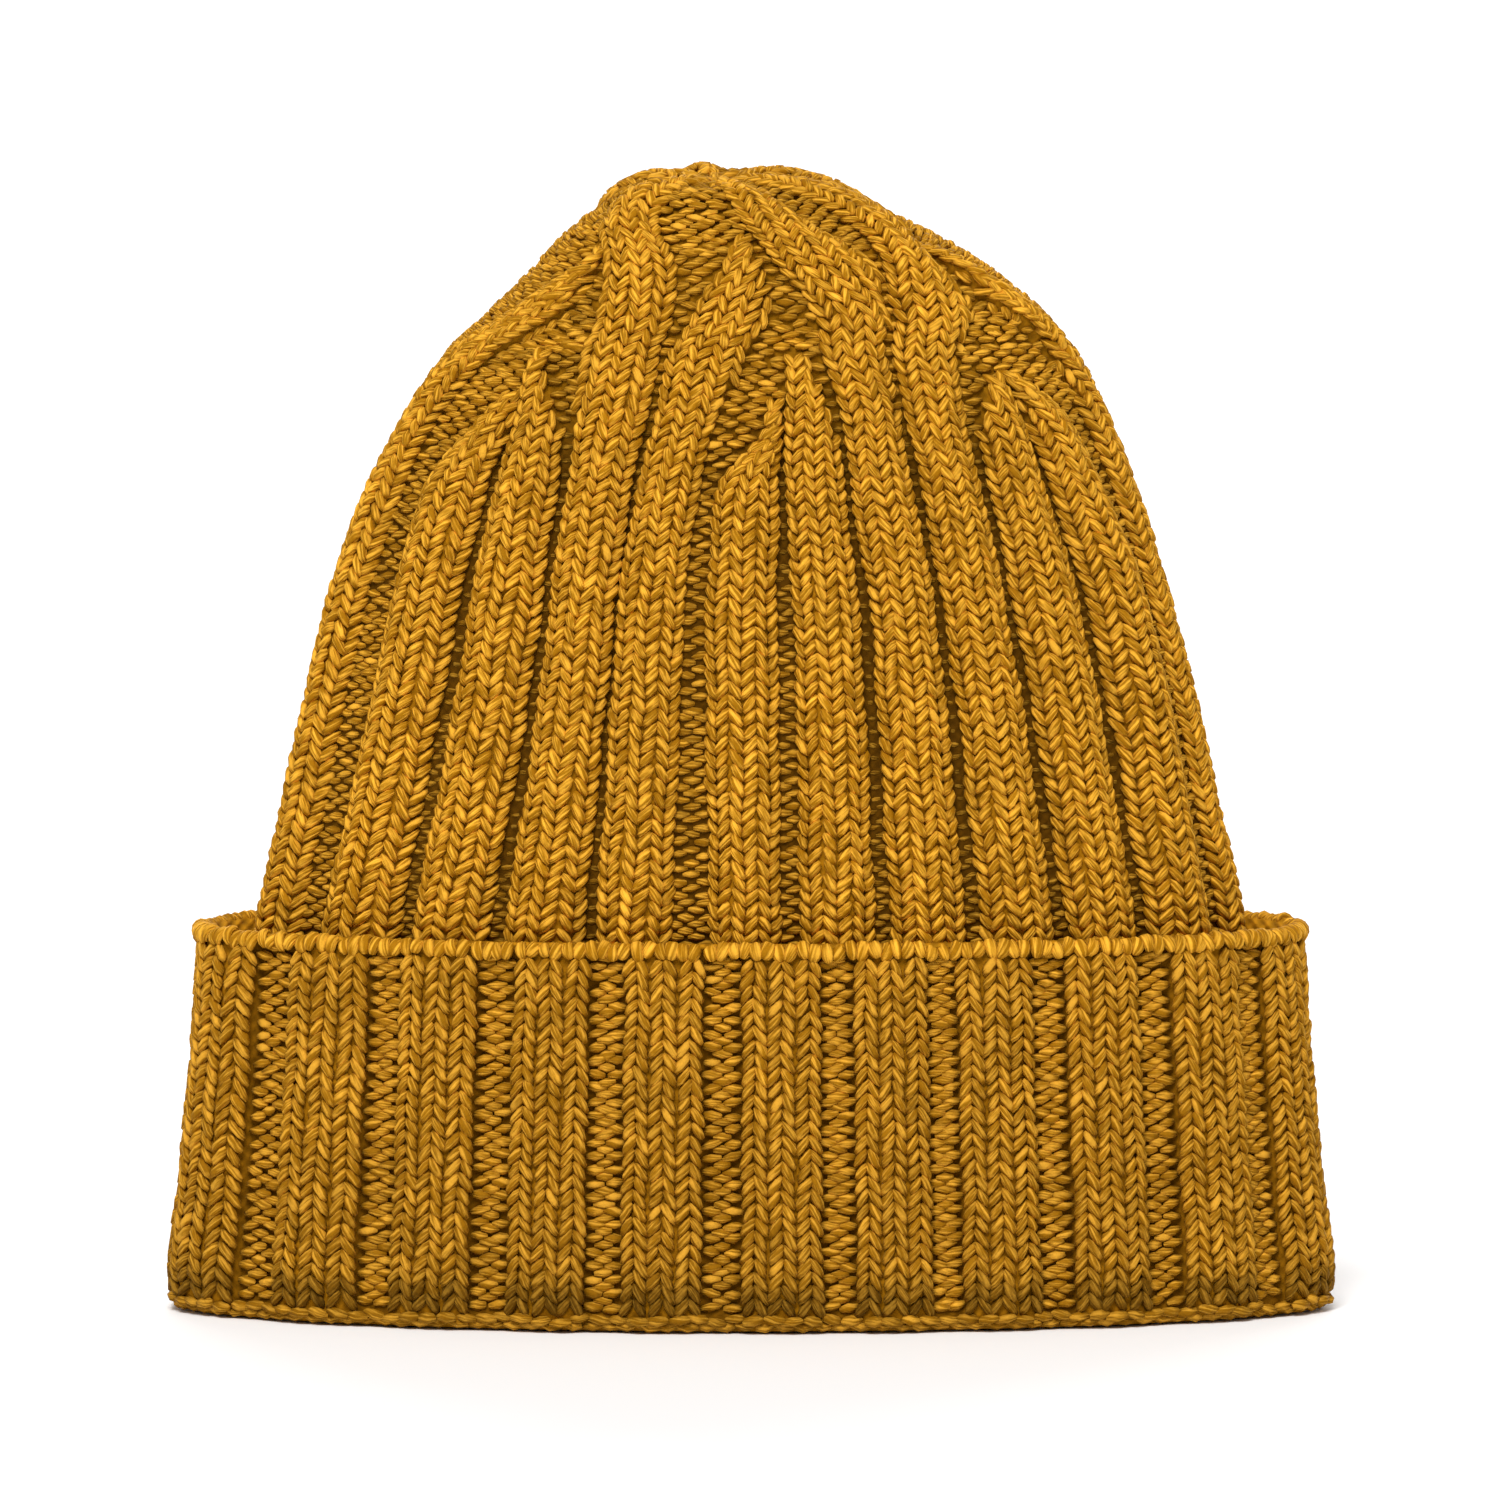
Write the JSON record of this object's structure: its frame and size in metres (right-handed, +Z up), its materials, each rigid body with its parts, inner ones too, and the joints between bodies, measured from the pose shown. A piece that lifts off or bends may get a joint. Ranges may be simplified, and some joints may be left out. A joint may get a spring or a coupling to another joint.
{
  "type": "ribbed knit beanie",
  "caption": "Chunky ribbed knit beanie with a domed crown whose ribs merge towards the top and a deep turned-up cuff, open below for the head.",
  "frame": {"origin": "under the middle of the hem, at the centre of the object's footprint", "axes": "+Z up through the crown, -Y the front that the picture shows, +X across the width to the picture's right"},
  "size_m": [0.2233, 0.094, 0.2211],
  "materials": {
    "rib_knit": "matte chunky yarn in knit and purl ribs"
  },
  "bodies": {
    "root": {"crown": "rib_knit", "cuff": "rib_knit"}
  },
  "joints": []
}
